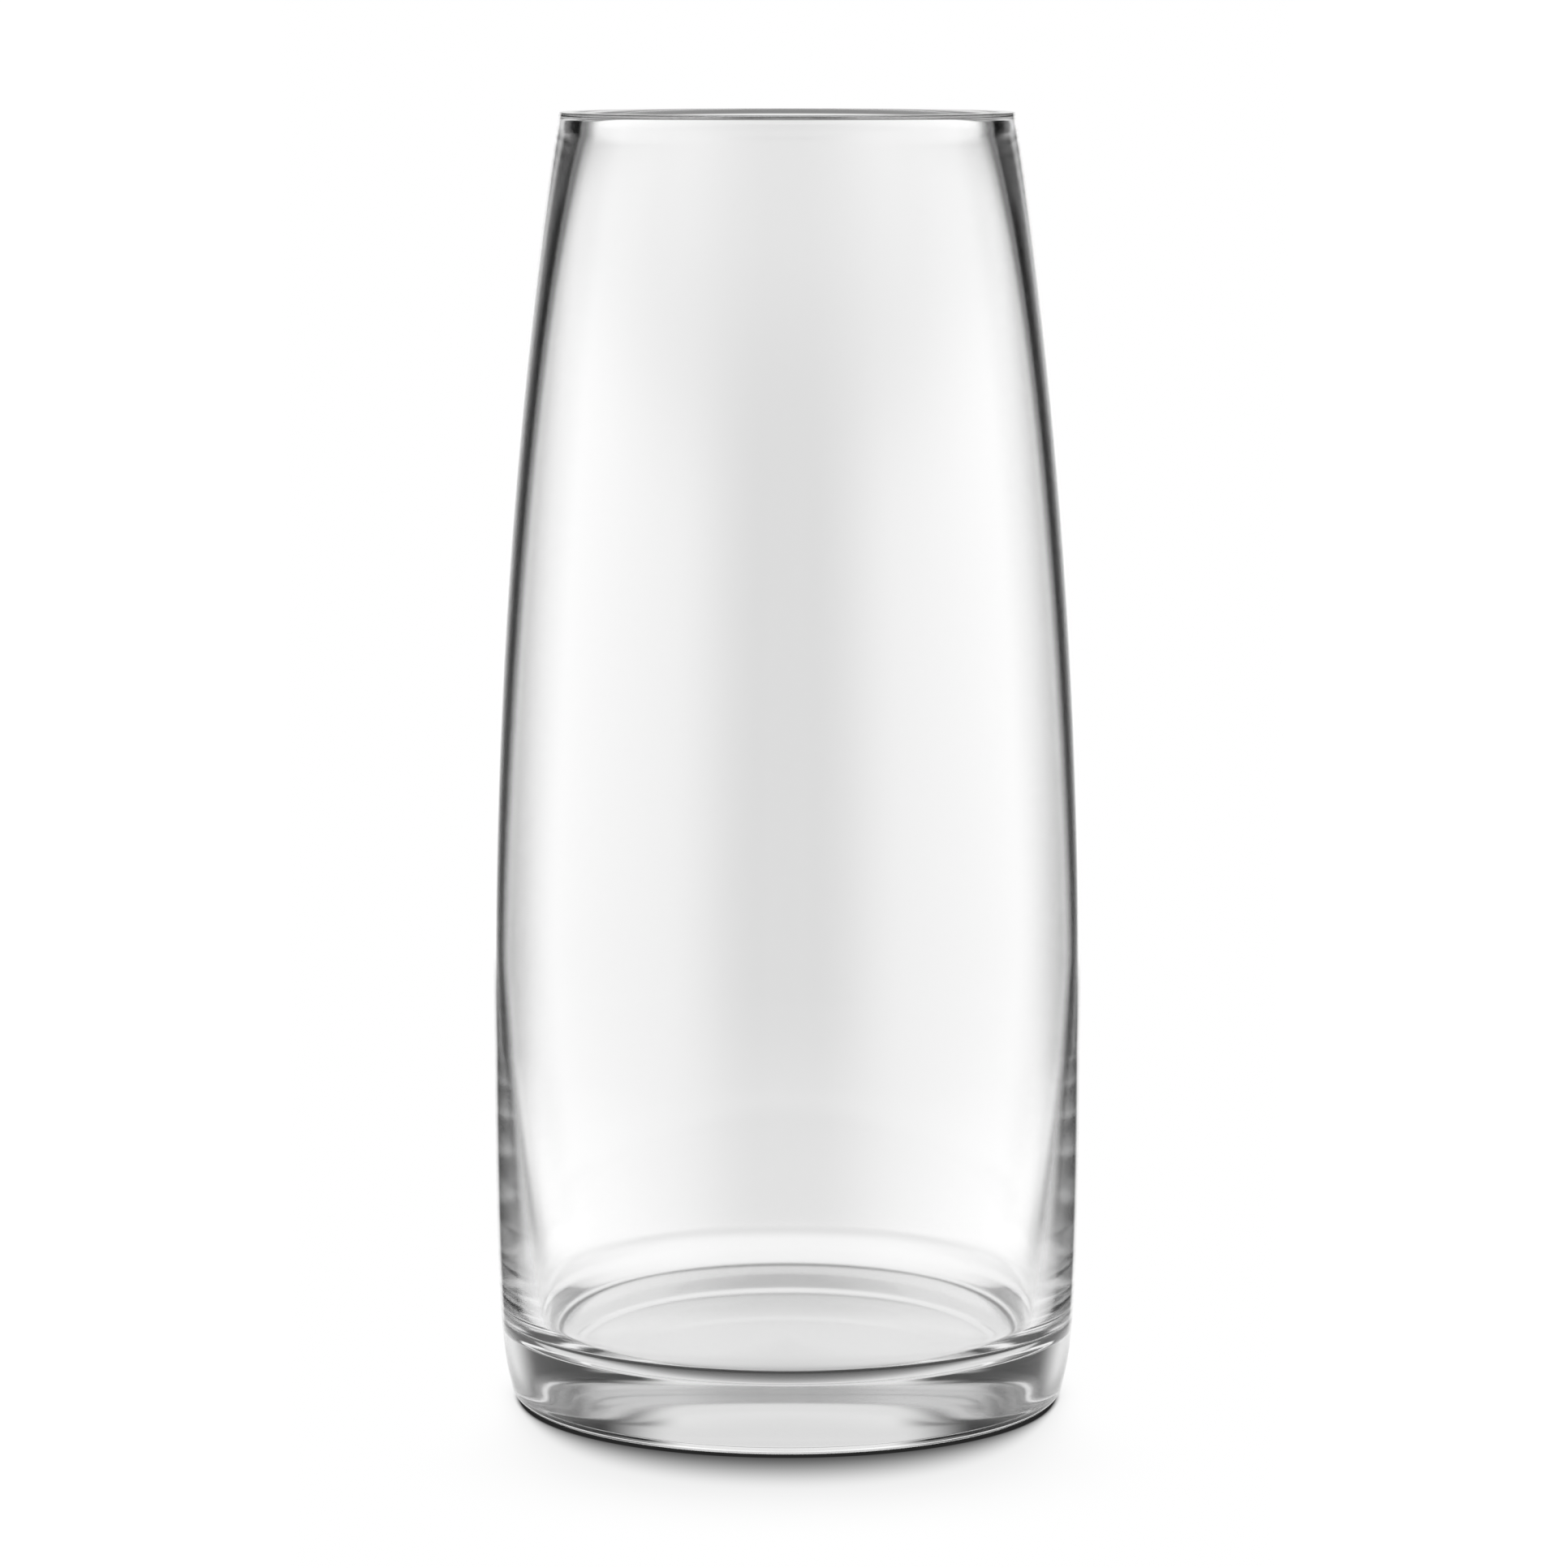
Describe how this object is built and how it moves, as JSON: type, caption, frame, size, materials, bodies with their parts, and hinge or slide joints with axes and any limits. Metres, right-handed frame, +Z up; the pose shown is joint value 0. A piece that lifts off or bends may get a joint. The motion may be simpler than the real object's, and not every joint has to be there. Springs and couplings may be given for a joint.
{
  "type": "glass cylinder vase",
  "caption": "Clear glass bouquet vase: a slim barrel on a thick solid base, narrowing to a flat ground rim.",
  "frame": {"origin": "centre of the base, on the surface that the vase stands on", "axes": "+Z up along the vase's axis of revolution; X and Y are any two directions square to it"},
  "size_m": [0.1142, 0.1142, 0.25],
  "materials": {
    "clear_glass": "clear colourless glass, fire polished, with a ground and polished rim"
  },
  "bodies": {
    "root": {"glass_vase": "clear_glass"}
  },
  "joints": []
}
